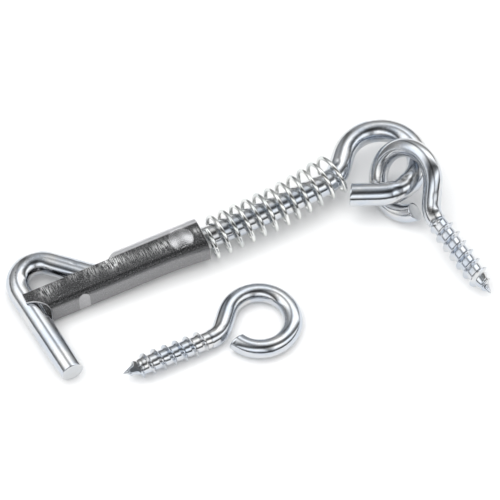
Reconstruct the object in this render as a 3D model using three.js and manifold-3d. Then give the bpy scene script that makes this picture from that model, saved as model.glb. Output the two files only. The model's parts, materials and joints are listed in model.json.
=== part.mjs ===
// Spring-latch wire hook with two screw eyes, in millimetres, +Z up.
// The hook lies on its side. +X runs along the latch sleeve from the hook end to the eye end,
// +Y is the side that the hook's bight bulges to, and the lowest points of the parts are at Z = 0.
import * as THREE from 'three';
import { mergeVertices } from 'three/addons/utils/BufferGeometryUtils.js';
import Module from 'manifold-3d';

const wasm = await Module();
wasm.setup();

const DEG = Math.PI / 180;
const GAP = 0.3;              // left between pieces that touch

// Hook: one length of round wire. X = 0 is where the shank starts its slight bow.
const HOOK_WIRE = 5.0;        // wire diameter
const SHANK_BACK = 23.2;      // straight shank behind X = 0, up to the bend into the bight
const BIGHT_BEND = 44.5;      // degrees
const BIGHT_BEND_R = 11.0;
const BIGHT_FLANK = 8.2;      // straight flank between the bend and the crown
const CROWN_R = 4.95;
const PIN_LEAN = 5.5;         // degrees that the pin leans back towards the eye
const PIN_LENGTH = 22.8;      // straight length of the pin below the crown
const BOW_R = 300;
const BOW_ANGLE = 4.4;        // degrees
const NECK_BEND_R = 6.0;
const NECK_BEND = 46.8;       // degrees
const NECK_FLANK = 3.55;
const HOOK_EYE_R = 8.15;      // centreline of the hook's own eye
const HOOK_EYE_SWEEP = 256;   // degrees of eye before its straight tail
const HOOK_TAIL = 6.5;        // ends just clear of the neck and of the last coil
const SHANK_FRONT = 1.45;     // straight shank between the bow and the neck

// Latch sleeve: formed sheet, a closed box round the shank that opens into a channel.
const SHEET = 0.72;
const SLEEVE_HEIGHT = 6.6;    // Z
const SLEEVE_WEB_Y = -3.32;   // outer face of the web
const SLEEVE_FOLD_Y = 4.8;    // outer face of the folded flanges
const SLEEVE_WEB_R = 1.7;     // outer bend radius on the web side
const SLEEVE_FOLD_R = 2.4;    // outer bend radius on the fold side
const SLEEVE_RIM_X = -5.0;
const SLEEVE_TIP_X = -45.6;
const CHANNEL_EDGE_Y = 2.5;   // cut edge of the open channel's walls
const CHANNEL_END_X = -22.4;
const FLARE_LENGTH = 10;
const FLARE = 0.8;
const PIN_NOTCH = { x: -46.1, y: -4.7, r: 4.9 };
const WEB_NOTCH = { x: -33.85, y: -4.95, r: 2.05 };
const DIMPLE = { x: -9.8, y: 0.15, r: 2.45, height: 0.55 };

// Compression spring between the sleeve's rim and the neck.
const SPRING_WIRE = 0.9;
const SPRING_MEAN_R = 4.3;
const SPRING_TURNS = 11.5;
const SPRING_PITCH = 2.795;
const SPRING_START_ANGLE = 90;  // degrees, from +Y towards +Z
const SPRING_SAG = 0.5;       // the first coils hang low on the shank, centred by SPRING_EVEN_X
const SPRING_EVEN_X = 10;
const SPRING_END_RISE = 1.4;  // the last coils ride up the neck's bend
const SPRING_END_LEAN = 0.6;  // and lean square to it
const SPRING_LEAN_X = 19;

// Screw eyes: two alike.
const EYE_WIRE = 4.11;
const EYE_R = 7.06;           // centreline of the ring
const EYE_LENGTH = 40.6;      // overall, ring to point
const EYE_NECK_X = -11.3;
const EYE_NECK_R = 4.5;
const EYE_NECK_BEND = 50;     // degrees
const EYE_SWEEP = 297;        // degrees of ring from the neck to the cut tail
const THREAD_START_X = -11.6;
const THREAD_ROOT = 3.7;
const THREAD_CREST = 5.2;
const THREAD_PITCH = 2.48;
const THREAD_PHASE = 0.3;     // turns
const THREAD_RIDGE = 0.31;    // half width of the ridge, as a part of the pitch
const THREAD_RUN_OUT = 2.0;
const THREAD_POINT = 4.2;     // length of the gimlet point
const POINT_TIP = 0.05;       // blunt tip, as a part of the root

// Poses: the hook leans on its sleeve's tip and on the linked screw eye.
const HOOK_TILT = 2.5;        // degrees, eye end up
const HOOK_Z = SLEEVE_HEIGHT / 2 - SLEEVE_TIP_X * Math.sin(HOOK_TILT * DEG);
const LINKED_EYE = { at: [40.05, -6.0, 7.5], heading: 99.1, pitch: -7.8, roll: 129.6 };
const LOOSE_EYE_LIFT = 0.19;  // its screw's crests hold the ring off the surface
const LOOSE_EYE = {
  at: [-2.0, -21.8, EYE_WIRE / 2 + LOOSE_EYE_LIFT], heading: 1.0, pitch: 1.5, roll: 0,
};

function steel(colour, roughness) {
  return new THREE.MeshStandardMaterial({ color: colour, roughness, metalness: 1 });
}

const bright = steel(0xc9cdd2, 0.22);
const sheet = steel(0x9a9ca1, 0.34);
const springSteel = steel(0xb4b3ae, 0.3);

function weld(geometry) {
  const bare = geometry.clone();
  bare.deleteAttribute('normal');
  bare.deleteAttribute('uv');
  return mergeVertices(bare, 1e-4);
}

function toSolid(geometry) {
  const welded = weld(geometry);
  const vertProperties = new Float32Array(welded.attributes.position.array);
  const triVerts = new Uint32Array(welded.index.array);
  return new wasm.Manifold(new wasm.Mesh({ numProp: 3, vertProperties, triVerts }));
}

function fromSolid(solid) {
  const mesh = solid.getMesh();
  const geometry = new THREE.BufferGeometry();
  const positions = new Float32Array(mesh.numVert * 3);
  for (let i = 0; i < mesh.numVert; i++) {
    for (let k = 0; k < 3; k++) {
      positions[3 * i + k] = mesh.vertProperties[mesh.numProp * i + k];
    }
  }
  geometry.setAttribute('position', new THREE.BufferAttribute(positions, 3));
  geometry.setIndex(new THREE.BufferAttribute(new Uint32Array(mesh.triVerts), 1));
  geometry.computeVertexNormals();
  return geometry;
}

// A wire bent in its own plane, told as a bender's list of straights and bends.
class BentWire extends THREE.Curve {
  constructor(start, heading, steps) {
    super();
    this.pieces = [];
    let at = new THREE.Vector2(start[0], start[1]);
    let angle = heading * DEG;
    this.total = 0;
    for (const step of steps) {
      const bend = (step.bend ?? 0) * DEG;
      const length = step.bend ? Math.abs(bend) * step.radius : step.straight;
      this.pieces.push({ at, angle, length, bend });
      at = this.along(this.pieces.at(-1), length);
      angle += bend;
      this.total += length;
    }
  }

  along(piece, distance) {
    const { at, angle, length, bend } = piece;
    if (!bend) {
      return new THREE.Vector2(Math.cos(angle), Math.sin(angle)).multiplyScalar(distance).add(at);
    }
    const radius = length / bend;
    const turned = angle + (bend * distance) / length;
    const x = at.x + radius * (Math.sin(turned) - Math.sin(angle));
    const y = at.y - radius * (Math.cos(turned) - Math.cos(angle));
    return new THREE.Vector2(x, y);
  }

  getPoint(t, target = new THREE.Vector3()) {
    let distance = t * this.total;
    let piece = this.pieces[0];
    for (piece of this.pieces) {
      if (distance <= piece.length) break;
      distance -= piece.length;
    }
    const p = this.along(piece, Math.min(distance, piece.length));
    return target.set(p.x, p.y, 0);
  }
}

function circle(radius, sides) {
  const points = [];
  for (let i = 0; i < sides; i++) {
    const angle = (2 * Math.PI * i) / sides;
    points.push(new THREE.Vector2(radius * Math.cos(angle), radius * Math.sin(angle)));
  }
  return new THREE.Shape(points);
}

function tube(path, diameter, sides, steps) {
  const options = { steps, bevelEnabled: false, extrudePath: path };
  return new THREE.ExtrudeGeometry(circle(diameter / 2, sides), options);
}

const shankAndBight = [
  { straight: SHANK_BACK },
  { bend: -BIGHT_BEND, radius: BIGHT_BEND_R },
  { straight: BIGHT_FLANK },
  { bend: BIGHT_BEND + 90 + PIN_LEAN, radius: CROWN_R },
  { straight: PIN_LENGTH },
];
const shankAndEye = [
  { bend: BOW_ANGLE, radius: BOW_R },
  { straight: SHANK_FRONT },
  { bend: NECK_BEND, radius: NECK_BEND_R },
  { straight: NECK_FLANK },
  { bend: -HOOK_EYE_SWEEP, radius: HOOK_EYE_R },
  { straight: HOOK_TAIL },
];

// The whole hook wire in one run, pin end to eye tail.
function hookPath() {
  const back = new BentWire([0, 0], 180, shankAndBight);
  const pinEnd = back.getPoint(1);
  const reversed = shankAndBight.toReversed().map((s) => (s.bend ? { ...s, bend: -s.bend } : s));
  const steps = [...reversed, ...shankAndEye];
  return new BentWire([pinEnd.x, pinEnd.y], 90 + PIN_LEAN, steps);
}

function hookGeometry() {
  const path = hookPath();
  return tube(path, HOOK_WIRE, 14, Math.round(path.total / 1.9));
}

// The sleeve's box section, shrunk by `inset` all round.
function sleeveSection(inset) {
  const z = SLEEVE_HEIGHT / 2 - inset;
  const web = SLEEVE_WEB_Y + inset;
  const fold = SLEEVE_FOLD_Y - inset;
  const webR = SLEEVE_WEB_R - inset;
  const foldR = SLEEVE_FOLD_R - inset;
  const shape = new THREE.Shape();
  shape.moveTo(web + webR, -z);
  shape.lineTo(fold - foldR, -z);
  shape.absarc(fold - foldR, -z + foldR, foldR, -Math.PI / 2, 0);
  shape.lineTo(fold, z - foldR);
  shape.absarc(fold - foldR, z - foldR, foldR, 0, Math.PI / 2);
  shape.lineTo(web + webR, z);
  shape.absarc(web + webR, z - webR, webR, Math.PI / 2, Math.PI);
  shape.lineTo(web, -z + webR);
  shape.absarc(web + webR, -z + webR, webR, Math.PI, 1.5 * Math.PI);
  return shape;
}

// A length of the sleeve's section along X, its web side flared out towards the rim.
function flaredLength(shape, x0, x1) {
  const geometry = new THREE.ExtrudeGeometry(shape, {
    depth: x1 - x0, steps: 14, bevelEnabled: false, curveSegments: 4,
  });
  const axes = new THREE.Matrix4().makeBasis(
    new THREE.Vector3(0, 1, 0), new THREE.Vector3(0, 0, 1), new THREE.Vector3(1, 0, 0));
  geometry.applyMatrix4(axes);
  geometry.translate(x0, 0, 0);
  const position = geometry.attributes.position;
  for (let i = 0; i < position.count; i++) {
    const into = Math.max(0, position.getX(i) - (SLEEVE_RIM_X - FLARE_LENGTH)) / FLARE_LENGTH;
    const side = Math.max(0, -position.getY(i)) / -SLEEVE_WEB_Y;
    position.setY(i, position.getY(i) - FLARE * into ** 1.6 * side);
  }
  return geometry;
}

function prismZ(shape, depth, curveSegments = 12) {
  const geometry = new THREE.ExtrudeGeometry(shape, { depth, bevelEnabled: false, curveSegments });
  return geometry.translate(0, 0, -depth / 2);
}

function notchCutter({ x, y, r }, sides) {
  return toSolid(prismZ(circle(r, sides), 3 * SLEEVE_HEIGHT).translate(x, y, 0));
}

function dimpleGeometry() {
  const { x, y, r, height } = DIMPLE;
  const rise = [];
  for (let i = 0; i <= 5; i++) {
    const t = i / 5;
    rise.push(new THREE.Vector2(r * (1 - t), height * Math.sin((t * Math.PI) / 2)));
  }
  const profile = [new THREE.Vector2(0, -SHEET / 2), new THREE.Vector2(r, -SHEET / 2), ...rise];
  const cap = new THREE.LatheGeometry(profile, 20).rotateX(Math.PI / 2);
  return cap.translate(x, y, SLEEVE_HEIGHT / 2);
}

function sleeveGeometry() {
  const body = toSolid(flaredLength(sleeveSection(0), SLEEVE_TIP_X, SLEEVE_RIM_X));
  const cavity = toSolid(flaredLength(sleeveSection(SHEET), SLEEVE_TIP_X - 1, SLEEVE_RIM_X + 1));
  const chamfer = SLEEVE_FOLD_Y - CHANNEL_EDGE_Y + 1;
  const opening = new THREE.Shape([
    new THREE.Vector2(SLEEVE_TIP_X - 2, CHANNEL_EDGE_Y),
    new THREE.Vector2(CHANNEL_END_X - chamfer, CHANNEL_EDGE_Y),
    new THREE.Vector2(CHANNEL_END_X, CHANNEL_EDGE_Y + chamfer),
    new THREE.Vector2(SLEEVE_TIP_X - 2, CHANNEL_EDGE_Y + chamfer),
  ]);
  return fromSolid(body
    .add(toSolid(dimpleGeometry()))
    .subtract(cavity)
    .subtract(toSolid(prismZ(opening, 3 * SLEEVE_HEIGHT)))
    .subtract(notchCutter(PIN_NOTCH, 40))
    .subtract(notchCutter(WEB_NOTCH, 24)));
}

// Helix round the shank, whose axis follows the shank's bow and then the neck.
class SpringPath extends THREE.Curve {
  getPoint(t, target = new THREE.Vector3()) {
    const { smoothstep } = THREE.MathUtils;
    const turns = SPRING_TURNS * t;
    const angle = 2 * Math.PI * turns + SPRING_START_ANGLE * DEG;
    const start = SLEEVE_RIM_X + GAP + SPRING_WIRE / 2;
    const end = start + SPRING_TURNS * SPRING_PITCH;
    const x = start + SPRING_PITCH * turns;
    const bow = Math.max(0, x) ** 2 / (2 * BOW_R);
    const sag = SPRING_SAG * (1 - smoothstep(x, start, SPRING_EVEN_X));
    const rise = SPRING_END_RISE * smoothstep(x, SPRING_EVEN_X, end);
    const lean = SPRING_END_LEAN * smoothstep(x, SPRING_LEAN_X, end) * Math.cos(angle);
    const y = bow - sag + rise + SPRING_MEAN_R * Math.cos(angle);
    return target.set(x - lean, y, SPRING_MEAN_R * Math.sin(angle));
  }
}

function springGeometry() {
  return tube(new SpringPath(), SPRING_WIRE, 6, Math.round(SPRING_TURNS * 12));
}

// Shank of a screw eye as a turned blank whose skin is raised into a helical thread.
function screwGeometry() {
  const tip = -(EYE_LENGTH - EYE_R - EYE_WIRE / 2);
  const length = THREAD_START_X - tip;
  const rows = Math.round((length / THREAD_PITCH) * 6);
  const geometry = new THREE.CylinderGeometry(1, 1, length, 14, rows).rotateZ(-Math.PI / 2);
  geometry.translate(tip + length / 2, 0, 0);
  const position = geometry.attributes.position;
  for (let i = 0; i < position.count; i++) {
    const x = position.getX(i);
    const off = Math.hypot(position.getY(i), position.getZ(i));
    if (off < 0.5) continue;
    const angle = Math.atan2(position.getZ(i), position.getY(i));
    const taper = THREE.MathUtils.clamp((x - tip) / THREAD_POINT, POINT_TIP, 1);
    const phase = x / THREAD_PITCH - angle / (2 * Math.PI) - THREAD_PHASE;
    const ridge = Math.max(0, 1 - Math.abs(phase - Math.round(phase)) / THREAD_RIDGE);
    const runOut = THREE.MathUtils.clamp((THREAD_START_X - x) / THREAD_RUN_OUT, 0, 1);
    const root = (THREAD_ROOT / 2) * taper;
    const crest = ((THREAD_CREST - THREAD_ROOT) / 2) * ridge * runOut * taper;
    position.setY(i, (position.getY(i) / off) * (root + crest));
    position.setZ(i, (position.getZ(i) / off) * (root + crest));
  }
  return geometry;
}

function screwEyeGeometry() {
  const lift = EYE_NECK_R * (1 - Math.cos(EYE_NECK_BEND * DEG));
  const drop = EYE_R * Math.cos(EYE_NECK_BEND * DEG);
  const flank = (drop - lift) / Math.sin(EYE_NECK_BEND * DEG);
  const start = THREAD_START_X - 0.4;
  const wire = new BentWire([start, 0], 0, [
    { straight: EYE_NECK_X - start },
    { bend: EYE_NECK_BEND, radius: EYE_NECK_R },
    { straight: flank },
    { bend: -EYE_SWEEP, radius: EYE_R },
  ]);
  const ring = toSolid(tube(wire, EYE_WIRE, 14, 44));
  return fromSolid(ring.add(toSolid(screwGeometry())));
}

function piece(name, geometry, material) {
  const mesh = new THREE.Mesh(geometry, material);
  mesh.name = name;
  return mesh;
}

function screwEye(name, pose) {
  const mesh = piece(name, screwEyeGeometry(), bright);
  mesh.rotation.set(pose.roll * DEG, pose.pitch * DEG, pose.heading * DEG, 'ZYX');
  mesh.position.set(...pose.at);
  return mesh;
}

const hook = new THREE.Group();
hook.rotation.y = -HOOK_TILT * DEG;
hook.position.z = HOOK_Z;
hook.add(piece('hook_wire', hookGeometry(), bright));
hook.add(piece('latch_sleeve', sleeveGeometry(), sheet));
hook.add(piece('latch_spring', springGeometry(), springSteel));

const group = new THREE.Group();
group.add(hook);
group.add(screwEye('linked_screw_eye', LINKED_EYE));
group.add(screwEye('catch_screw_eye', LOOSE_EYE));

// The origin is the middle of the whole set's footprint, on the surface that it lies on.
group.updateMatrixWorld(true);
const extent = new THREE.Box3().setFromObject(group, true);
const middle = extent.getCenter(new THREE.Vector3());
group.position.set(-middle.x, -middle.y, -extent.min.z);

export default group;
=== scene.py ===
"""Spring-latch gate hook with two screw eyes: fine meshes, zinc materials and a studio."""
import json
import math

import bmesh
import bpy
import numpy as np
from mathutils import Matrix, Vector
from mathutils.geometry import delaunay_2d_cdt


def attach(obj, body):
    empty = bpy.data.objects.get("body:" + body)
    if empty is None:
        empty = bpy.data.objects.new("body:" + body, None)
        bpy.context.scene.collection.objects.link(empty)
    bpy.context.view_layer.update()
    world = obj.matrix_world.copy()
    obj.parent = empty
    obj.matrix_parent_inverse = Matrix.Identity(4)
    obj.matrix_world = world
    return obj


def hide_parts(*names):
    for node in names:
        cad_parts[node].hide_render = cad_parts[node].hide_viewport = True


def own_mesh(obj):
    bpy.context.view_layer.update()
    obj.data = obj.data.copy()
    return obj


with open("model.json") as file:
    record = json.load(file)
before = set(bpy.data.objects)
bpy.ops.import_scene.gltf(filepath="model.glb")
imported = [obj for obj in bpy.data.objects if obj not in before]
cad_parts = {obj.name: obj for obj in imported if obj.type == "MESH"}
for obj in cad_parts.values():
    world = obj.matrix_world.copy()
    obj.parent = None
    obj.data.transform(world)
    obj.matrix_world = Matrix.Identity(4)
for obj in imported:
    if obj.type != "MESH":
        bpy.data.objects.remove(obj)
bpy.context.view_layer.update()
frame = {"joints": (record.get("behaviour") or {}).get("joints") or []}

MM = 0.001  # lengths below are in millimetres; the meshes are made in metres

# Hook wire, a bender's list as in the CAD source: ("straight", length) or ("bend", degrees, radius).
HOOK_R = 2.5
BACK_RUN = [("straight", 23.2), ("bend", -44.5, 11.0), ("straight", 8.2), ("bend", 140.0, 4.95),
            ("straight", 22.8)]
FRONT_RUN = [("bend", 4.4, 300.0), ("straight", 1.45), ("bend", 46.8, 6.0), ("straight", 3.55),
             ("bend", -256.0, 8.15), ("straight", 6.5)]
BOW_R = 300.0

# Sleeve. Its blank is told in (x, run), where the run is the length round the section from the seam.
SHEET = 0.72
SLEEVE_HEIGHT = 6.6
WEB_Y = -3.32
FOLD_Y = 4.8
WEB_R = 1.7
FOLD_R = 2.4
RIM_X = -5.0
TIP_X = -45.6
EDGE_Y = 2.5
CHANNEL_END_X = -22.4
FLARE_LENGTH = 10.0
FLARE = 0.8
PIN_NOTCH = (-46.1, -4.7, 4.9)
WEB_NOTCH = (-33.85, -4.95, 2.05)
DIMPLE = (-9.8, 0.15, 2.45, 0.55)
CREASE_X = -17.5  # where the light crease on the top wall fades in, towards the rim
SEAM_GAP = 0.07  # half the gap between the flanges
EDGE_ROUNDING = 0.14
SLEEVE_SPACING = 0.34  # between the points of its mesh

# Spring
SPRING_R = 0.45
SPRING_MEAN_R = 4.3
SPRING_TURNS = 11.5
SPRING_PITCH = 2.795
SPRING_SAG = 0.5
SPRING_EVEN_X = 10.0
SPRING_END_RISE = 1.4
SPRING_END_LEAN = 0.6
SPRING_LEAN_X = 19.0
SPRING_GAP = 0.3  # between the sleeve's rim and the first coil
SPRING_START_X = RIM_X + SPRING_GAP + SPRING_R
SPRING_END_X = SPRING_START_X + SPRING_TURNS * SPRING_PITCH

# Screw eyes
EYE_WIRE_R = 2.055
EYE_R = 7.06
EYE_LENGTH = 40.6
EYE_NECK_X = -11.3
EYE_NECK_R = 4.5
EYE_NECK_BEND = 50.0
EYE_SWEEP = 297.0
THREAD_START_X = -11.6
THREAD_ROOT_R = 1.85
THREAD_CREST_R = 2.6
THREAD_PITCH = 2.48
THREAD_PHASE = 0.3
THREAD_POINT = 4.2
LINKED_EYE = {"at": (40.05, -6.0, 7.5), "turn": (129.6, -7.8, 99.1)}
LOOSE_EYE_LIFT = 0.19  # its screw's crests hold the ring off the floor
LOOSE_EYE = {"at": (-2.0, -21.8, EYE_WIRE_R + LOOSE_EYE_LIFT), "turn": (0.0, 1.5, 1.0)}


# ---------------------------------------------------------------- paths

def smooth_path(steps, ease=0.55, step=0.05):
    """A bent wire from the origin along +X, each bend eased in over `ease`.

    Gives its lengths, x, y, headings and curvatures.
    """
    curvature = []
    for kind, size, *radius in steps:
        length = abs(math.radians(size)) * radius[0] if kind == "bend" else size
        bend = math.copysign(1 / radius[0], size) if kind == "bend" else 0.0
        curvature += [bend] * max(1, round(length / step))
    curvature = np.array(curvature)
    reach = round(4 * ease / step)
    weights = np.exp(-0.5 * (np.arange(-reach, reach + 1) * step / ease) ** 2)
    padded = np.pad(curvature, reach, mode="edge")
    curvature = np.convolve(padded, weights / weights.sum(), mode="valid")
    heading = np.concatenate([[0], np.cumsum(curvature) * step])
    middle = (heading[1:] + heading[:-1]) / 2
    x = np.concatenate([[0], np.cumsum(np.cos(middle)) * step])
    y = np.concatenate([[0], np.cumsum(np.sin(middle)) * step])
    curvature = np.append(curvature, curvature[-1])
    return np.arange(len(x)) * step, x, y, heading, curvature


def resample(path, at):
    return [np.interp(at, path[0], column) for column in path[1:]]


def hook_path(spacing):
    """Points along the hook wire, pin end first, in the hook's own frame (X = 0 is the start of the bow)."""
    back = smooth_path(BACK_RUN)
    front = smooth_path(FRONT_RUN)
    lengths = [np.linspace(0, p[0][-1], round(p[0][-1] / spacing)) for p in (back, front)]
    back_x, back_y, back_heading, back_curve = resample(back, lengths[0])
    front_x, front_y, front_heading, front_curve = resample(front, lengths[1])
    # the back run is told from X = 0 towards -X, so it is turned half round and reversed
    x = np.concatenate([-back_x[::-1], front_x[1:]])
    y = np.concatenate([-back_y[::-1], front_y[1:]])
    heading = np.concatenate([back_heading[::-1], front_heading[1:]])
    curve = np.concatenate([back_curve[::-1], front_curve[1:]])
    length = np.concatenate([lengths[0], lengths[0][-1] + lengths[1][1:]])
    return length, x, y, heading, curve


# ---------------------------------------------------------------- meshes

def make_mesh(name, verts, faces, grain, marks, place, sharp=38):
    """An object from points in millimetres. Its unbent coordinates and marks are kept for the materials."""
    mesh = bpy.data.meshes.new(name)
    points = np.asarray(verts, float) @ np.array(place[0]).T * MM + np.array(place[1])
    mesh.from_pydata(points.tolist(), [], faces)
    attribute = mesh.attributes.new("grain", "FLOAT_VECTOR", "POINT")
    attribute.data.foreach_set("vector", np.asarray(grain, np.float32).ravel())
    for mark, values in marks.items():
        attribute = mesh.attributes.new(mark, "FLOAT", "POINT")
        attribute.data.foreach_set("value", np.asarray(values, np.float32))
    tidy = bmesh.new()
    tidy.from_mesh(mesh)
    bmesh.ops.remove_doubles(tidy, verts=tidy.verts, dist=2e-6)
    bmesh.ops.dissolve_degenerate(tidy, edges=tidy.edges, dist=1e-7)
    bmesh.ops.recalc_face_normals(tidy, faces=tidy.faces)
    tidy.to_mesh(mesh)
    tidy.free()
    mesh.polygons.foreach_set("use_smooth", [True] * len(mesh.polygons))
    mesh.set_sharp_from_angle(angle=math.radians(sharp))
    piece = bpy.data.objects.new(name, mesh)
    bpy.context.scene.collection.objects.link(piece)
    return piece


def ring_faces(rings, sides, first=0):
    faces = []
    for i in range(rings - 1):
        for j in range(sides):
            a = first + i * sides + j
            b = first + i * sides + (j + 1) % sides
            faces.append((a, b, b + sides, a + sides))
    return faces


class Tube:
    """Rings of points along a wire with closed ends, their unbent coordinates and their marks."""

    def __init__(self, sides):
        self.angle = 2 * math.pi * np.arange(sides) / sides
        self.sides = sides
        self.rings, self.grain, self.bend, self.cut = [], [], [], []

    def ring(self, centre, across, up, radius, length, curve=0.0, cut=0.0):
        c, s = np.cos(self.angle), np.sin(self.angle)
        radius = np.broadcast_to(radius, self.angle.shape)
        offset = np.outer(radius * c, across) + np.outer(radius * s, up)
        self.rings.append(np.asarray(centre) + offset)
        self.grain.append(np.stack([radius * c, radius * s, np.full(self.sides, length)], 1))
        self.bend.append(np.abs(curve) * (1 + 0.6 * np.sign(curve) * c))
        self.cut.append(np.full(self.sides, cut))

    def build(self, name, place, sharp=38):
        rings = len(self.rings)
        verts = np.concatenate(self.rings)
        faces = ring_faces(rings, self.sides)
        faces.append(tuple(reversed(range(self.sides))))
        faces.append(tuple((rings - 1) * self.sides + j for j in range(self.sides)))
        marks = {"bend": np.concatenate(self.bend), "cut": np.concatenate(self.cut)}
        return make_mesh(name, verts, faces, np.concatenate(self.grain), marks, place, sharp)


def wire_end(tube, centre, along, across, up, radius, length, outward, slant=0.0, rounding=0.22):
    """Rounds the edge of a cut end and closes it with a slightly slanted face."""
    across, up, along = (np.asarray(v, float) for v in (across, up, along))
    rows = [(radius, 0.0, 0.0), (radius - 0.3 * rounding, 0.7 * rounding, 0.3),
            (radius - rounding, rounding, 1.0), (radius * 0.55, rounding, 1.0),
            (radius * 0.12, rounding, 1.0)]
    made = []
    for r, forward, cut in rows:
        tilt = slant * r / radius
        made.append((centre + along * (forward - rounding) * outward, across + along * tilt, up, r, cut))
    for at, a, u, r, cut in (made if outward > 0 else made[::-1]):
        tube.ring(at, a, u, r, length, 0.0, cut)


def dents(length, angle, radius, marks):
    """How deep the tools bit in. Each mark is (length, degrees, half length, half width, depth)."""
    depth = np.zeros_like(angle)
    for at, turn, half_length, half_width, bite in marks:
        along = (length - at) / half_length
        if abs(along) > 1.6:
            continue
        off = (angle - math.radians(turn) + math.pi) % (2 * math.pi) - math.pi
        depth += bite * np.exp(-along ** 4 - (off * radius / half_width) ** 4)
    return depth


# ---------------------------------------------------------------- placing

def hook_place():
    """The hook frame's axes and origin in the row frame, from the two joints that are made in it."""
    joints = {j["name"]: j for j in frame["joints"]}
    along = Vector(joints["latch_slide"]["axis"]).normalized()
    up = Vector(joints["linked_eye_swing"]["axis"]).normalized()
    side = up.cross(along)
    start = smooth_path(FRONT_RUN[:-2])
    x, y, heading = start[1][-1], start[2][-1], start[3][-1]
    ring_r = FRONT_RUN[-2][2]
    ring = (x + ring_r * math.sin(heading), y - ring_r * math.cos(heading))
    axes = np.array([along, side, up]).T
    origin = np.array(joints["linked_eye_swing"]["pos_m"]) - axes @ np.array([ring[0], ring[1], 0.0]) * MM
    return axes, origin


def eye_place(pose, hook):
    """A screw eye's axes and origin, placed from the point on the floor below the hook's origin."""
    roll, pitch, heading = (math.radians(a) for a in pose["turn"])
    cr, sr, cp, sp = math.cos(roll), math.sin(roll), math.cos(pitch), math.sin(pitch)
    ch, sh = math.cos(heading), math.sin(heading)
    turn_z = np.array([[ch, -sh, 0], [sh, ch, 0], [0, 0, 1]])
    turn_y = np.array([[cp, 0, sp], [0, 1, 0], [-sp, 0, cp]])
    turn_x = np.array([[1, 0, 0], [0, cr, -sr], [0, sr, cr]])
    tilt = math.asin(hook[0][2][0])
    hook_z = SLEEVE_HEIGHT / 2 - TIP_X * math.sin(tilt)
    below = hook[1] - np.array([0, 0, hook_z * MM])
    return turn_z @ turn_y @ turn_x, below + np.array(pose["at"]) * MM


# ---------------------------------------------------------------- hook wire

HOOK_MARKS = [
    (31.5, 35, 1.2, 0.7, 0.10), (33.4, -20, 0.8, 1.1, 0.08), (28.6, -35, 0.7, 0.9, 0.09),
    (36.8, 15, 1.5, 0.8, 0.07), (14.5, 170, 0.5, 0.6, 0.10), (17.2, 165, 1.3, 0.4, 0.06),
    (40.5, 60, 0.6, 1.2, 0.06), (45.1, -70, 1.1, 0.7, 0.07), (101.5, 200, 1.4, 1.0, 0.12),
    (104.0, 60, 0.8, 1.5, 0.10), (98.7, 15, 1.2, 1.3, 0.12), (109.0, -10, 1.5, 0.9, 0.08),
    (113.4, 175, 1.8, 0.8, 0.10), (117.5, 20, 0.9, 1.4, 0.07), (124.0, 190, 1.6, 0.9, 0.08),
    (131.0, 160, 1.2, 1.1, 0.09), (137.2, 60, 1.1, 0.8, 0.10), (139.5, 120, 1.3, 1.6, 0.18),
    (141.0, 45, 0.7, 1.5, 0.14),
]


def hook_wire(place):
    tube = Tube(72)
    length, x, y, heading, curve = hook_path(0.35)
    count = len(length)
    for i in range(count):
        along = np.array([math.cos(heading[i]), math.sin(heading[i]), 0.0])
        across = np.array([-along[1], along[0], 0.0])
        centre = np.array([x[i], y[i], 0.0])
        if i in (0, count - 1):
            outward = -1 if i == 0 else 1
            slant = 0.05 if i == 0 else 0.12
            wire_end(tube, centre, along, across, (0, 0, 1), HOOK_R, length[i], outward, slant)
            continue
        squeeze = 1 - 0.10 * abs(curve[i]) * np.cos(tube.angle) ** 2
        radius = HOOK_R * squeeze - dents(length[i], tube.angle, HOOK_R, HOOK_MARKS)
        tube.ring(centre, across, (0, 0, 1), radius, length[i], HOOK_R * curve[i])
    return tube.build("hook_wire_fine", place)


# ---------------------------------------------------------------- sleeve

class Profile:
    """The sleeve's outer section, told by the length run from the seam in the middle of the folded side."""

    def __init__(self):
        h = SLEEVE_HEIGHT / 2
        web, fold = WEB_Y + WEB_R, FOLD_Y - FOLD_R
        top = fold - web
        self.parts = [
            ("line", h - FOLD_R, (FOLD_Y, 0), 90), ("arc", FOLD_R, (fold, h - FOLD_R), 0),
            ("line", top, (fold, h), 180), ("arc", WEB_R, (web, h - WEB_R), 90),
            ("line", 2 * (h - WEB_R), (WEB_Y, h - WEB_R), 270), ("arc", WEB_R, (web, WEB_R - h), 180),
            ("line", top, (web, -h), 0), ("arc", FOLD_R, (fold, FOLD_R - h), 270),
            ("line", h - FOLD_R, (FOLD_Y, FOLD_R - h), 90),
        ]
        lengths = [size * (math.pi / 2 if kind == "arc" else 1) for kind, size, _, _ in self.parts]
        self.marks = np.concatenate([[0], np.cumsum(lengths)])
        self.total = self.marks[-1]

    def at(self, run):
        """(y, z, outward y, outward z) for each run along the section."""
        run = np.asarray(run, float)
        result = np.zeros((4, *run.shape))
        for i, (kind, size, point, turn) in enumerate(self.parts):
            inside = (run >= self.marks[i]) if i == 0 else (run > self.marks[i])
            local = run - self.marks[i]
            if kind == "line":
                c, s = math.cos(math.radians(turn)), math.sin(math.radians(turn))
                values = (point[0] + c * local, point[1] + s * local,
                          np.full_like(local, s), np.full_like(local, -c))
            else:
                angle = math.radians(turn) + local / size
                values = (point[0] + size * np.cos(angle), point[1] + size * np.sin(angle),
                          np.cos(angle), np.sin(angle))
            for k in range(4):
                result[k] = np.where(inside, values[k], result[k])
        return result

    def run_at_y(self, y, top):
        """Where a flat wall's section passes y."""
        start = self.marks[2] + (FOLD_Y - FOLD_R - y)
        if y > FOLD_Y - FOLD_R:
            start = self.marks[1] + FOLD_R * math.acos((y - FOLD_Y + FOLD_R) / FOLD_R)
        return start if top else self.total - start


PROFILE = Profile()


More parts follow.
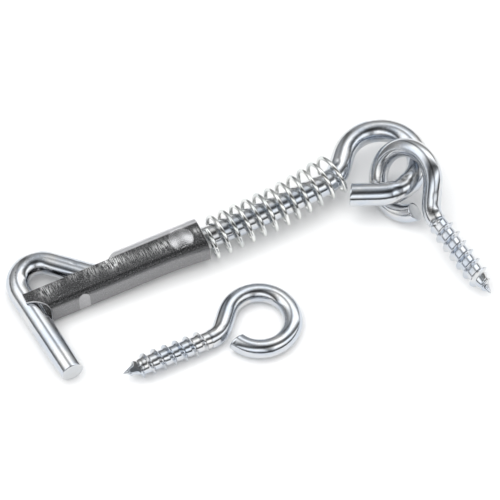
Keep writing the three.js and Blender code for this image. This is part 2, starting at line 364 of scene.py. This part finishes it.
def waves(x, run, seed):
    """Slight unevenness of formed sheet, about one unit high."""
    rng = np.random.default_rng(seed)
    total = np.zeros_like(x)
    for _ in range(14):
        fx, fr = rng.uniform(0.15, 1.1), rng.uniform(0.2, 1.3)
        total += np.sin(fx * x + rng.uniform(0, 6.3)) * np.sin(fr * run + rng.uniform(0, 6.3))
    return total / 3.7


def web_bite(x):
    """How far in, as a y, the round cutter reached into the web at x."""
    centre_x, centre_y, radius = WEB_NOTCH
    inside = radius ** 2 - (x - centre_x) ** 2
    return np.where(inside > 0, centre_y + np.sqrt(np.clip(inside, 0, None)), centre_y)


def sleeve_surface(x, run):
    """Outer skin of the sleeve at (x, run), and its unit normal, before the sheet's thickness."""
    y, z, ny, nz = PROFILE.at(run)
    into = np.clip((x - (RIM_X - FLARE_LENGTH)) / FLARE_LENGTH, 0, None)
    side = np.clip(-y, 0, None) / -WEB_Y
    lift = 0.012 * waves(x, run, 5)
    on_top = nz > 0.99
    dx, dy, dr, dh = DIMPLE
    off = np.hypot(x - dx, y - dy)
    dome = np.where(off < dr, dh * (1 - (off / dr) ** 2), 0)
    groove = -0.07 * np.exp(-((off - dr - 0.12) / 0.16) ** 2)
    crease_y = 0.1 + 0.16 * np.sin(2.1 * x) * np.sin(0.9 * x + 1) + 0.1 * np.sin(6.3 * x)
    fade = np.clip((x - CREASE_X) / 4, 0, 1)
    crease = fade * 0.11 * np.clip(1 - np.abs(y - crease_y) / 1.9, 0, 1)
    lift = lift + np.where(on_top, dome + groove + crease * np.where(off < dr, 0.3, 1), 0)
    y = y + ny * lift - FLARE * into ** 1.6 * side
    z = z + nz * lift
    return np.stack([x, y, z], -1)


def sleeve_skin(x, run, depth):
    """A point in the sheet: the outer skin's point moved inward by depth."""
    eps = 0.02
    point = sleeve_surface(x, run)
    du = sleeve_surface(x + eps, run) - sleeve_surface(x - eps, run)
    dv = sleeve_surface(x, run + eps) - sleeve_surface(x, run - eps)
    normal = np.cross(dv, du)
    normal /= np.linalg.norm(normal, axis=-1, keepdims=True)
    _, _, ny, nz = PROFILE.at(run)
    facing = np.sign(normal[..., 1] * ny + normal[..., 2] * nz)
    point -= normal * (facing * depth)[..., None]
    point[..., 1] = np.where(ny < 0, np.maximum(point[..., 1], web_bite(x)), point[..., 1])
    return point


def sleeve_outline(spacing):
    """The blank's outline in (x, run), counted round from the rim's first corner."""
    low, high = SEAM_GAP, PROFILE.total - SEAM_GAP
    edge_top, edge_bottom = PROFILE.run_at_y(EDGE_Y, True), PROFILE.run_at_y(EDGE_Y, False)
    chamfer = FOLD_Y - EDGE_Y + 1
    start = CHANNEL_END_X - chamfer

    def line(a, b):
        n = max(2, round(math.dist(a, b) / spacing))
        return [(a[0] + (b[0] - a[0]) * t / n, a[1] + (b[1] - a[1]) * t / n) for t in range(n)]

    def chamfer_edge(runs):
        y = PROFILE.at(runs)[0]
        return list(zip(start + np.clip(y - EDGE_Y, 0, None), runs))

    cx, cy, r = PIN_NOTCH
    meets = cy + math.sqrt(r * r - (TIP_X - cx) ** 2)
    tip_top, tip_bottom = PROFILE.run_at_y(meets, True), PROFILE.run_at_y(meets, False)
    runs = [tip_bottom]
    while runs[-1] > tip_top:
        y = float(PROFILE.at(runs[-1])[0])
        steep = min(1.0, 0.25 + 0.75 * math.sqrt(max(0.0, 1 - ((y - cy) / r) ** 2)))
        runs.append(runs[-1] - spacing * steep * 0.8)
    runs[-1] = tip_top
    y = PROFILE.at(np.array(runs))[0]
    notch = list(zip(np.maximum(TIP_X, cx + np.sqrt(np.clip(r * r - (y - cy) ** 2, 0, None))), runs))
    bottom_runs = np.linspace(high, edge_bottom, round((high - edge_bottom) / spacing) + 1)
    top_runs = np.linspace(edge_top, low, round((edge_top - low) / spacing) + 1)
    first_x = float(chamfer_edge(np.array([high]))[0][0])
    outline = line((RIM_X, low), (RIM_X, high)) + line((RIM_X, high), (first_x, high))
    outline += chamfer_edge(bottom_runs)[:-1] + line((start, edge_bottom), (TIP_X, edge_bottom))
    outline += line((TIP_X, edge_bottom), (TIP_X, tip_bottom)) + notch[:-1]
    outline += line((TIP_X, tip_top), (TIP_X, edge_top)) + line((TIP_X, edge_top), (start, edge_top))
    outline += chamfer_edge(top_runs)[:-1] + line((first_x, low), (RIM_X, low))
    return np.array([(float(a), float(b)) for a, b in outline])


def inset(outline, distance):
    before = outline - np.roll(outline, 1, axis=0)
    after = np.roll(outline, -1, axis=0) - outline
    tangents = [v / np.maximum(np.linalg.norm(v, axis=1, keepdims=True), 1e-9) for v in (before, after)]
    tangent = tangents[0] + tangents[1]
    tangent /= np.maximum(np.linalg.norm(tangent, axis=1, keepdims=True), 1e-9)
    area = np.sum(outline[:, 0] * np.roll(outline[:, 1], -1) - np.roll(outline[:, 0], -1) * outline[:, 1])
    normal = np.stack([-tangent[:, 1], tangent[:, 0]], 1) * np.sign(area)
    return outline + normal * distance


def inside_polygon(points, polygon):
    inside = np.zeros(len(points), bool)
    a, b = polygon, np.roll(polygon, -1, axis=0)
    for (x0, y0), (x1, y1) in zip(a, b):
        crosses = (y0 > points[:, 1]) != (y1 > points[:, 1])
        if y1 != y0:
            inside ^= crosses & (points[:, 0] < (x1 - x0) * (points[:, 1] - y0) / (y1 - y0) + x0)
    return inside


def distance_to(points, polygon):
    return np.min(np.linalg.norm(points[:, None, :] - polygon[None, :, :], axis=2), axis=1)


def sleeve_points(outline, spacing):
    """Points inside the outline: a grid, finer round the dimple, the crease and the notch in the web."""
    runs = []
    for a, b in zip(PROFILE.marks[:-1], PROFILE.marks[1:]):
        n = max(2, round((b - a) / (spacing * 0.7)))
        runs += [a + (b - a) * i / n for i in range(n)]
    xs = np.arange(TIP_X + spacing / 2, RIM_X, spacing)
    grid = np.array([(x, r) for x in xs for r in runs])
    dimple_run = PROFILE.run_at_y(DIMPLE[1], True)
    off = np.hypot(grid[:, 0] - DIMPLE[0], grid[:, 1] - dimple_run)
    fine_dimple = [(DIMPLE[0] + r * math.cos(t), dimple_run + r * math.sin(t))
                   for r in np.linspace(0.15, DIMPLE[2] + 0.55, 19)
                   for t in np.arange(0, 6.28, 2 * math.pi / 56)]
    web_run = PROFILE.marks[4] + SLEEVE_HEIGHT / 2 - WEB_R
    in_notch = (np.abs(grid[:, 0] - WEB_NOTCH[0]) < 1.8) & (np.abs(grid[:, 1] - web_run) < 4)
    fine_notch = [(x, r) for x in np.arange(WEB_NOTCH[0] - 1.75, WEB_NOTCH[0] + 1.8, 0.14)
                  for r in np.arange(web_run - 3.9, web_run + 3.9, 0.16)]
    in_crease = (grid[:, 0] > -17) & (np.abs(grid[:, 1] - dimple_run) < 1.0)
    fine_crease = np.array([(x, r) for x in np.arange(-17, RIM_X, 0.2)
                            for r in np.arange(dimple_run - 0.96, dimple_run + 1, 0.16)])
    near = np.hypot(fine_crease[:, 0] - DIMPLE[0], fine_crease[:, 1] - dimple_run)
    grid = grid[(off > DIMPLE[2] + 0.75) & ~in_notch & ~in_crease]
    points = np.concatenate([grid, fine_crease[near > DIMPLE[2] + 0.7], fine_dimple, fine_notch])
    points = points[inside_polygon(points, outline)]
    return points[distance_to(points, outline) > spacing * 0.35]


def latch_sleeve(place):
    rounding = EDGE_ROUNDING
    outline = sleeve_outline(SLEEVE_SPACING)
    inner = inset(outline, rounding)
    points = np.concatenate([inner, sleeve_points(inner, SLEEVE_SPACING)])
    n = len(inner)
    edges = [(i, (i + 1) % n) for i in range(n)]
    out = delaunay_2d_cdt([Vector(p) for p in points], edges, [], 1, 1e-5, False)
    flat = np.array([tuple(v) for v in out[0]])
    triangles = np.array([tuple(f) for f in out[2]])
    inside = inside_polygon(flat[triangles].mean(axis=1), inner)
    triangles = [tuple(int(v) for v in f) for f in triangles[inside]]
    count = len(flat)
    # round the cut edge, from the outer skin to the inner: how far in from the outline, and how deep
    ring = [(rounding, 0.0), (0.3 * rounding, 0.3 * rounding), (0, rounding), (0, SHEET / 2),
            (0, SHEET - rounding), (0.3 * rounding, SHEET - 0.3 * rounding), (rounding, SHEET)]
    skins = [sleeve_skin(flat[:, 0], flat[:, 1], np.zeros(count)),
             sleeve_skin(flat[:, 0], flat[:, 1], np.full(count, SHEET))]
    verts, grain, edge_mark = list(skins), [], []
    faces = triangles + [tuple(reversed([i + count for i in f])) for f in triangles]
    for depth in (0.0, SHEET):
        grain.append(np.stack([flat[:, 0], flat[:, 1], np.full(count, depth)], 1))
        edge_mark.append(np.zeros(count))
    first = 2 * count
    for back, depth in ring:
        line = inset(outline, back)
        verts.append(sleeve_skin(line[:, 0], line[:, 1], np.full(n, depth)))
        grain.append(np.stack([line[:, 0], line[:, 1], np.full(n, depth)], 1))
        # the rounded cut edge is marked, so that the sheet's material paints a highlight on it
        edge_mark.append(np.full(n, 0.0 if back == rounding else 1.0))
    for k in range(len(ring) - 1):
        for i in range(n):
            a, b = first + k * n + i, first + k * n + (i + 1) % n
            faces.append((a, b, b + n, a + n))
    verts, grain = np.concatenate(verts), np.concatenate(grain)
    unbitten_y, _, ny, nz = PROFILE.at(grain[:, 1])
    # A painted highlight band on the fold side, which faces +Y, and a fainter painted sheen on the web side.
    painted_sheen = np.clip(ny * 7, 0, 1)
    painted_sheen = np.maximum(painted_sheen, np.clip((-ny - 0.8) * 5, 0, 0.2))
    # Painted light inside the web's groove, brighter than the web round it.
    in_groove = (ny < 0) & (unbitten_y < web_bite(grain[:, 0]))
    painted_sheen = np.where(in_groove, 0.42, painted_sheen)
    off = np.hypot(verts[:, 0] - DIMPLE[0], verts[:, 1] - DIMPLE[1])
    pressed = np.where(nz > 0.99, np.clip((DIMPLE[2] + 0.25 - off) / 0.2, 0, 1), 0)
    scrape = sum(np.exp(-((verts[:, 0] - cx) / wx) ** 2 - ((verts[:, 1] - cy) / wy) ** 2) * power
                 for cx, cy, wx, wy, power in SCRAPES) * (nz > 0.6)
    marks = {"cut": np.concatenate(edge_mark), "painted_sheen": painted_sheen, "scrape": scrape, "pressed": pressed}
    return make_mesh("latch_sleeve_fine", verts, faces, grain, marks, place, 50)


# Patches of cross scratches on the top wall: centre x, centre y, half length, half width, strength.
SCRAPES = [(-40.9, 1.2, 1.6, 1.6, 0.8), (-38.0, 1.6, 1.0, 0.9, 0.5), (-30.3, 1.4, 1.5, 1.5, 0.75),
           (-25.6, 1.2, 1.6, 1.1, 3.2), (-34.2, 1.8, 1.2, 0.8, 0.5), (-22.2, 0.9, 1.7, 1.4, 0.5),
           (-14.0, 0.3, 2.2, 1.2, 0.8), (-18.4, 0.4, 2.0, 1.3, 0.35), (-6.2, 0.6, 0.9, 0.8, 0.7)]


# ---------------------------------------------------------------- spring

def ease(value, low, high):
    t = np.clip((value - low) / (high - low), 0, 1)
    return t * t * (3 - 2 * t)


def spring_point(t):
    x = SPRING_START_X + SPRING_PITCH * SPRING_TURNS * t
    bow = np.clip(x, 0, None) ** 2 / (2 * BOW_R)
    sag = SPRING_SAG * (1 - ease(x, SPRING_START_X, SPRING_EVEN_X))
    rise = SPRING_END_RISE * ease(x, SPRING_EVEN_X, SPRING_END_X)
    angle = 2 * math.pi * SPRING_TURNS * t + math.pi / 2
    lean = SPRING_END_LEAN * ease(x, SPRING_LEAN_X, SPRING_END_X) * np.cos(angle)
    centre = np.stack([x - lean, bow - sag + rise, np.zeros_like(x)], -1)
    out = np.stack([np.zeros_like(x), np.cos(angle), np.sin(angle)], -1)
    return centre + SPRING_MEAN_R * out, out


def latch_spring(place):
    tube = Tube(18)
    t = np.linspace(0, 1, round(SPRING_TURNS * 72))
    points, outs = spring_point(t)
    tangents = np.gradient(points, axis=0)
    length = np.concatenate([[0], np.cumsum(np.linalg.norm(np.diff(points, axis=0), axis=1))])
    for i in range(len(t)):
        along = tangents[i] / np.linalg.norm(tangents[i])
        across = outs[i] - along * (outs[i] @ along)
        across /= np.linalg.norm(across)
        up = np.cross(along, across)
        if i in (0, len(t) - 1):
            outward = -1 if i == 0 else 1
            wire_end(tube, points[i], along, across, up, SPRING_R, length[i], outward, 0.05, 0.08)
        else:
            tube.ring(points[i], across, up, SPRING_R, length[i], 0.1)
    return tube.build("latch_spring_fine", place)


# ---------------------------------------------------------------- screw eyes

EYE_MARKS = [(3.0, 100, 0.6, 0.5, 0.04), (6.2, -40, 0.8, 0.5, 0.05), (9.5, 180, 1.0, 0.5, 0.04),
             (15.0, 30, 0.9, 0.6, 0.03), (24.0, 160, 1.1, 0.6, 0.03), (33.0, -30, 0.9, 0.6, 0.03),
             (41.5, 150, 0.7, 0.6, 0.04), (44.6, 40, 0.6, 0.7, 0.07), (44.9, 215, 0.6, 0.7, 0.08)]


def thread_radius(x, phase, tip):
    """Radius of the screw at x, where phase runs from 0 to 1 over one pitch and the crest is at a half."""
    taper = np.clip((x - tip) / THREAD_POINT, 0.015, 1)
    off = np.abs(phase - 0.5) * THREAD_PITCH
    land, base = 0.07, 0.62
    ridge = np.clip((base - off) / (base - land), 0, 1) ** 1.35
    run_out = np.clip((THREAD_START_X - x) / 1.6, 0, 1)
    root = THREAD_ROOT_R * np.where(taper < 1, taper ** 0.85, 1)
    return root + (THREAD_CREST_R - THREAD_ROOT_R) * ridge * run_out * taper


def thread_mesh(sides, tip):
    """The screw's skin as one strip wound round it: phases across a pitch, clamped at both ends."""
    phases = np.array([0, 0.12, 0.22, 0.25, 0.29, 0.34, 0.39, 0.435, 0.47, 0.5,
                       0.53, 0.565, 0.61, 0.66, 0.71, 0.75, 0.78, 0.88])
    turns = math.ceil((THREAD_START_X - tip) / THREAD_PITCH) + 3
    steps = turns * sides
    angle = 2 * math.pi * np.arange(steps + 1) / sides
    # the crest lies half way across the strip, and THREAD_PHASE of a pitch past whole turns in the CAD
    crest_start = (math.floor(tip / THREAD_PITCH) - 1 + THREAD_PHASE) * THREAD_PITCH
    start = crest_start - THREAD_PITCH / 2
    verts, grain = [], []
    for k in range(steps + 1):
        base = start + THREAD_PITCH * angle[k] / (2 * math.pi)
        x = np.clip(base + THREAD_PITCH * phases, tip, THREAD_START_X)
        radius = thread_radius(x, phases, tip)
        radius = np.where(x >= THREAD_START_X, THREAD_ROOT_R, np.where(x <= tip, 0.0, radius))
        y, z = radius * math.cos(angle[k]), radius * math.sin(angle[k])
        verts.append(np.stack([x, y, z], 1))
        grain.append(np.stack([y, z, x], 1))
    across = len(phases)
    faces = []
    for k in range(steps):
        for j in range(across):
            a = k * across + j
            if j < across - 1:
                faces.append((a, a + across, a + across + 1, a + 1))
            elif k + sides + 1 <= steps:
                b = (k + sides) * across
                faces.append((a, a + across, b + across, b))
    return np.concatenate(verts), faces, np.concatenate(grain)


def point_facet(verts, tip, turn):
    """The flat that the pointing die cuts across the start of the screw's point."""
    c, s = math.cos(math.radians(turn)), math.sin(math.radians(turn))
    out = verts[:, 1] * c + verts[:, 2] * s
    along = verts[:, 0] - tip
    limit = 0.3 * along + 0.2
    over = np.where((along > 1.3) & (along < 3.4), np.clip(out - limit, 0, None), 0)
    verts = verts.copy()
    verts[:, 1] -= over * c
    verts[:, 2] -= over * s
    return verts


def screw_eye(name, place, facet_turn):
    sides = 60
    tip = -(EYE_LENGTH - EYE_R - EYE_WIRE_R)
    lift = EYE_NECK_R * (1 - math.cos(math.radians(EYE_NECK_BEND)))
    drop = EYE_R * math.cos(math.radians(EYE_NECK_BEND))
    flank = (drop - lift) / math.sin(math.radians(EYE_NECK_BEND))
    path = smooth_path([("straight", EYE_NECK_X - THREAD_START_X), ("bend", EYE_NECK_BEND, EYE_NECK_R),
                        ("straight", flank), ("bend", -EYE_SWEEP, EYE_R)], 0.5)
    lengths = np.linspace(0, path[0][-1], round(path[0][-1] / 0.33))
    x, y, heading, curve = resample(path, lengths)
    tube = Tube(sides)
    tube.ring((THREAD_START_X, 0, 0), (0, 1, 0), (0, 0, 1), THREAD_ROOT_R, 0.0)
    tube.ring((THREAD_START_X + 0.06, 0, 0), (0, 1, 0), (0, 0, 1), EYE_WIRE_R - 0.03, 0.05)
    for i in range(1, len(lengths)):
        along = np.array([math.cos(heading[i]), math.sin(heading[i]), 0.0])
        across = np.array([-along[1], along[0], 0.0])
        centre = np.array([THREAD_START_X + x[i], y[i], 0.0])
        if i == len(lengths) - 1:
            wire_end(tube, centre, along, across, (0, 0, 1), EYE_WIRE_R, lengths[i], 1, 0.18)
            continue
        squeeze = 1 - 0.08 * abs(curve[i]) * np.cos(tube.angle) ** 2
        radius = EYE_WIRE_R * squeeze - dents(lengths[i], tube.angle, EYE_WIRE_R, EYE_MARKS)
        tube.ring(centre, across, (0, 0, 1), radius, lengths[i], EYE_WIRE_R * curve[i])
    wire = np.concatenate(tube.rings)
    faces = ring_faces(len(tube.rings), sides)
    faces.append(tuple((len(tube.rings) - 1) * sides + j for j in range(sides)))
    screw, screw_faces, screw_grain = thread_mesh(sides, tip)
    screw = point_facet(screw, tip, facet_turn)
    faces += [tuple(len(wire) + v for v in face) for face in screw_faces]
    grain = np.concatenate([*tube.grain, screw_grain])
    marks = {"bend": np.concatenate([*tube.bend, np.full(len(screw), 0.25)]),
             "cut": np.concatenate([*tube.cut, np.zeros(len(screw))])}
    return make_mesh(name, np.concatenate([wire, screw]), faces, grain, marks, place, 40)


# ---------------------------------------------------------------- materials

class Nodes:
    """A short way to write a node tree."""

    def __init__(self, tree):
        self.tree = tree

    def add(self, kind, inputs=None, **settings):
        node = self.tree.nodes.new(kind)
        for key, value in settings.items():
            setattr(node, key, value)
        for key, value in (inputs or {}).items():
            self.put(node.inputs[key], value)
        return node

    def put(self, socket, value):
        if isinstance(value, bpy.types.NodeSocket):
            self.tree.links.new(value, socket)
        else:
            socket.default_value = value

    def math(self, operation, a, b=0.0, clamp=False):
        node = self.add("ShaderNodeMath", {0: a, 1: b}, operation=operation)
        node.use_clamp = clamp
        return node.outputs[0]

    def mark(self, name):
        return self.add("ShaderNodeAttribute", attribute_name=name).outputs["Fac"]

    def grain(self, scale):
        vector = self.add("ShaderNodeAttribute", attribute_name="grain").outputs["Vector"]
        return self.add("ShaderNodeVectorMath", {0: vector, 1: scale}, operation="MULTIPLY").outputs[0]

    def noise(self, scale, detail=2.0, roughness=0.5):
        inputs = {"Vector": self.grain(scale), "Scale": 1.0, "Detail": detail, "Roughness": roughness}
        return self.add("ShaderNodeTexNoise", inputs).outputs["Fac"]

    def between(self, value, low, high, to_low=0.0, to_high=1.0):
        inputs = {0: value, 1: low, 2: high, 3: to_low, 4: to_high}
        return self.add("ShaderNodeMapRange", inputs, clamp=True).outputs[0]

    def mix(self, factor, a, b):
        node = self.add("ShaderNodeMix", data_type="RGBA")
        for index, value in ((0, factor), (6, a), (7, b)):
            self.put(node.inputs[index], value)
        return node.outputs[2]

    def bump(self, height, strength, distance, normal=None):
        inputs = {"Height": height, "Strength": strength, "Distance": distance}
        if normal is not None:
            inputs["Normal"] = normal
        return self.add("ShaderNodeBump", inputs).outputs[0]


def metal(name):
    material = bpy.data.materials.new(name)
    material.use_nodes = True
    nodes = Nodes(material.node_tree)
    shader = material.node_tree.nodes["Principled BSDF"]
    shader.inputs["Metallic"].default_value = 1.0
    return material, nodes, shader


def zinc_wire():
    """Bright clear zinc on drawn wire: mirror bands, blue and warm casts, a rougher skin where it is bent."""
    material, n, shader = metal("zinc_wire")
    cast = n.noise((0.35, 0.35, 0.16), 3)
    tint = n.mix(n.between(cast, 0.38, 0.64), (0.53, 0.57, 0.63, 1), (0.66, 0.66, 0.66, 1))
    specks = n.between(n.noise((2.6, 2.6, 1.1), 4, 0.65), 0.60, 0.72)
    bent = n.between(n.mark("bend"), 0.22, 0.75)
    tint = n.mix(n.math("MULTIPLY", specks, n.between(bent, 0, 1, 0.12, 0.75)), tint, (0.12, 0.11, 0.11, 1))
    tint = n.mix(n.math("MULTIPLY", n.mark("cut"), 0.8), tint, (0.62, 0.63, 0.64, 1))
    rough = n.between(n.noise((0.9, 0.9, 0.35), 3), 0.3, 0.7, 0.10, 0.19)
    rough = n.math("ADD", rough, n.math("MULTIPLY", n.mark("cut"), 0.35))
    drawn = n.noise((5.5, 5.5, 0.22), 2)
    peel = n.noise((1.5, 1.5, 0.9), 3, 0.55)
    normal = n.bump(drawn, 0.16, 0.00003)
    normal = n.bump(peel, n.between(bent, 0, 1, 0.10, 0.42), 0.00012, normal)
    n.put(shader.inputs["Base Color"], tint)
    n.put(shader.inputs["Roughness"], rough)
    n.put(shader.inputs["Normal"], normal)
    return material


def zinc_sheet():
    """Duller, mottled zinc on formed sheet: flats painted near black as a dark reflection, with flecks; a
    painted highlight on the fold side, a fainter one on the web and painted light in the web's groove; cross
    scratches; a painted highlight on the cut edges.
    """
    material, n, shader = metal("zinc_sheet")
    mottle = n.between(n.noise((3.6, 4.6, 4.0), 4, 0.75), 0.42, 0.62)
    patches = n.between(n.noise((0.45, 0.9, 1.0), 2), 0.35, 0.65, 0.6, 1.25)
    flecks = n.between(n.noise((6.5, 3.2, 3.0), 3, 0.6), 0.57, 0.66)
    # The flats' near-black base colour is a painted dark reflection, the studio's dark band painted into the
    # sheet; the mottle between the two greys and the bright flecks are the sheet's own uneven tone.
    flat = n.mix(mottle, (0.030, 0.030, 0.031, 1), (0.135, 0.135, 0.138, 1))
    flat = n.mix(n.math("MULTIPLY", flecks, n.math("MULTIPLY", patches, 0.55)), flat, (0.55, 0.55, 0.56, 1))
    streaks = n.between(n.noise((5.2, 0.55, 1.0), 3, 0.6), 0.46, 0.58)
    scraped = n.math("MULTIPLY", streaks, n.mark("scrape"), True)
    flat = n.mix(scraped, flat, (0.97, 0.97, 0.97, 1))
    # The near-white colour of the painted highlight on the fold side, the web and the groove.
    painted_sheen_colour = n.mix(n.noise((0.5, 1.1, 1.0), 3), (0.80, 0.80, 0.84, 1), (0.98, 0.97, 0.97, 1))
    colour = n.mix(n.mark("painted_sheen"), flat, painted_sheen_colour)
    colour = n.mix(n.mark("pressed"), colour, (0.50, 0.50, 0.51, 1))
    # A near-white colour on the sheet's cut edges: a painted edge highlight.
    colour = n.mix(n.math("MULTIPLY", n.mark("cut"), 0.9), colour, (0.95, 0.95, 0.96, 1))
    rough = n.between(mottle, 0, 1, 0.30, 0.40)
    rough = n.math("SUBTRACT", rough, n.math("MULTIPLY", n.mark("pressed"), 0.24))
    rough = n.math("ADD", rough, n.math("MULTIPLY", scraped, 0.25))
    normal = n.bump(mottle, 0.25, 0.00005)
    normal = n.bump(streaks, n.math("MULTIPLY", n.mark("scrape"), 0.5), 0.00006, normal)
    n.put(shader.inputs["Base Color"], colour)
    n.put(shader.inputs["Roughness"], rough)
    n.put(shader.inputs["Normal"], normal)
    return material


def spring_wire():
    """Zinc plated spring wire, a little warmer, with the lines that coiling leaves along it."""
    material, n, shader = metal("spring_wire")
    cast = n.noise((0.8, 0.8, 0.12), 3)
    tint = n.mix(n.between(cast, 0.35, 0.65), (0.60, 0.62, 0.62, 1), (0.84, 0.84, 0.82, 1))
    tint = n.mix(n.math("MULTIPLY", n.mark("cut"), 0.8), tint, (0.55, 0.55, 0.54, 1))
    drawn = n.noise((7.0, 7.0, 0.3), 2)
    n.put(shader.inputs["Base Color"], tint)
    n.put(shader.inputs["Roughness"], n.between(drawn, 0.3, 0.7, 0.08, 0.15))
    n.put(shader.inputs["Normal"], n.bump(drawn, 0.2, 0.00003))
    return material


# ---------------------------------------------------------------- studio

CAMERA_AZIMUTH = -24.853
CAMERA_ELEVATION = 57.0
CAMERA_DISTANCE = 0.9
CAMERA_LENS = 304.6
FLOOR_HALF_WIDTH = 3.0
FLOOR_DROP = 0.00002
LOOK_AT = (3.505, -5.473, -2.262)  # from the hook's origin


def camera(middle):
    a, e = math.radians(CAMERA_AZIMUTH), math.radians(CAMERA_ELEVATION)
    forward = Vector((-math.sin(a) * math.cos(e), math.cos(a) * math.cos(e), -math.sin(e)))
    data = bpy.data.cameras.new("camera")
    data.lens = CAMERA_LENS
    data.clip_end = 10
    eye = bpy.data.objects.new("camera", data)
    eye.location = middle - forward * CAMERA_DISTANCE
    eye.rotation_mode = "QUATERNION"
    eye.rotation_quaternion = forward.to_track_quat("-Z", "Y")
    bpy.context.scene.collection.objects.link(eye)
    bpy.context.scene.camera = eye


def floor():
    """A plain pale sheet, a hair below the parts."""
    mesh = bpy.data.meshes.new("floor")
    half = FLOOR_HALF_WIDTH
    corners = [(-half, -half, 0), (half, -half, 0), (half, half, 0), (-half, half, 0)]
    mesh.from_pydata(corners, [], [(0, 1, 2, 3)])
    sheet = bpy.data.objects.new("floor", mesh)
    sheet.location.z = -FLOOR_DROP
    material = bpy.data.materials.new("floor_paper")
    material.use_nodes = True
    shader = material.node_tree.nodes["Principled BSDF"]
    shader.inputs["Base Color"].default_value = (0.93, 0.93, 0.93, 1)
    shader.inputs["Roughness"].default_value = 0.9
    shader.inputs["Specular IOR Level"].default_value = 0.1
    mesh.materials.append(material)
    bpy.context.scene.collection.objects.link(sheet)


# The studio dome along the arc from the far horizon (0) over the top (90) to the near horizon (180),
# as degrees and light.
FAR_TO_NEAR = [(0, 0.45), (23, 0.42), (43, 0.75), (58, 1.9), (76, 1.9), (91, 0.5), (104, 0.08), (118, 0.3),
               (132, 1.9), (150, 1.3), (163, 0.15), (180, 0.06)]
# And from the +X horizon (0) over the top to the -X horizon (180), multiplied in: the gaps between the boxes.
SIDE_TO_SIDE = [(0, 0.5), (16, 0.75), (31, 1.0), (70, 1.0), (84, 0.3), (94, 0.3), (106, 0.9), (125, 1.0),
                (150, 0.9), (165, 0.55), (180, 0.5)]


def arc_ramp(n, parts, across, stops):
    arc = n.math("ARCTAN2", parts.outputs["Z"], parts.outputs[across])
    ramp = n.add("ShaderNodeValToRGB", {0: n.between(arc, 0.0, math.pi)})
    elements = ramp.color_ramp.elements
    while len(elements) < len(stops):
        elements.new(0.5)
    brightest = max(light for _, light in stops)
    for element, (degrees, light) in zip(elements, stops):
        element.position = degrees / 180
        element.color = (light / brightest,) * 3 + (1,)
    return n.math("MULTIPLY", ramp.outputs[0], brightest)


def dome():
    """Soft boxes and the dark gaps between them, as bands of light and shade over the sky."""
    world = bpy.data.worlds.new("studio")
    bpy.context.scene.world = world
    world.use_nodes = True
    n = Nodes(world.node_tree)
    direction = n.add("ShaderNodeTexCoord").outputs["Generated"]
    parts = n.add("ShaderNodeSeparateXYZ", {0: direction})
    light = n.math("MULTIPLY", arc_ramp(n, parts, "Y", FAR_TO_NEAR), arc_ramp(n, parts, "X", SIDE_TO_SIDE))
    background = world.node_tree.nodes["Background"]
    background.inputs["Color"].default_value = (0.985, 0.995, 1.0, 1)
    n.put(background.inputs["Strength"], light)


def fill_light():
    """A large soft light that only lifts the floor and the shadows, and isn't mirrored in the metal."""
    data = bpy.data.lights.new("fill", "AREA")
    data.shape = "DISK"
    data.size = 1.6
    data.energy = 14
    light = bpy.data.objects.new("fill", data)
    light.location = (-0.25, -0.15, 1.3)
    light.rotation_mode = "QUATERNION"
    light.rotation_quaternion = light.location.to_track_quat("Z", "Y")
    light.visible_glossy = False
    bpy.context.scene.collection.objects.link(light)


# ---------------------------------------------------------------- assembly

def put(piece, material, body, node):
    """Gives a piece its material and says which body it rides and which CAD node it stands for."""
    piece.data.materials.append(material)
    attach(piece, body)
    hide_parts(node)


def main():
    hook = hook_place()
    wire_zinc = zinc_wire()
    put(hook_wire(hook), wire_zinc, "hook", "hook_wire")
    put(latch_sleeve(hook), zinc_sheet(), "latch", "latch_sleeve")
    spring = latch_spring(hook)
    put(spring, spring_wire(), "hook", "latch_spring")
    linked = screw_eye("linked_screw_eye_fine", eye_place(LINKED_EYE, hook), 100)
    put(linked, wire_zinc, "linked_eye", "linked_screw_eye")
    loose = screw_eye("catch_screw_eye_fine", eye_place(LOOSE_EYE, hook), 115)
    put(loose, wire_zinc, "catch_eye", "catch_screw_eye")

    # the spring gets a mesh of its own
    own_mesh(spring)

    floor()
    dome()
    fill_light()
    camera(Vector(hook[1]) + Vector(LOOK_AT) * MM)
    bpy.context.scene.view_settings.view_transform = "Standard"


main()
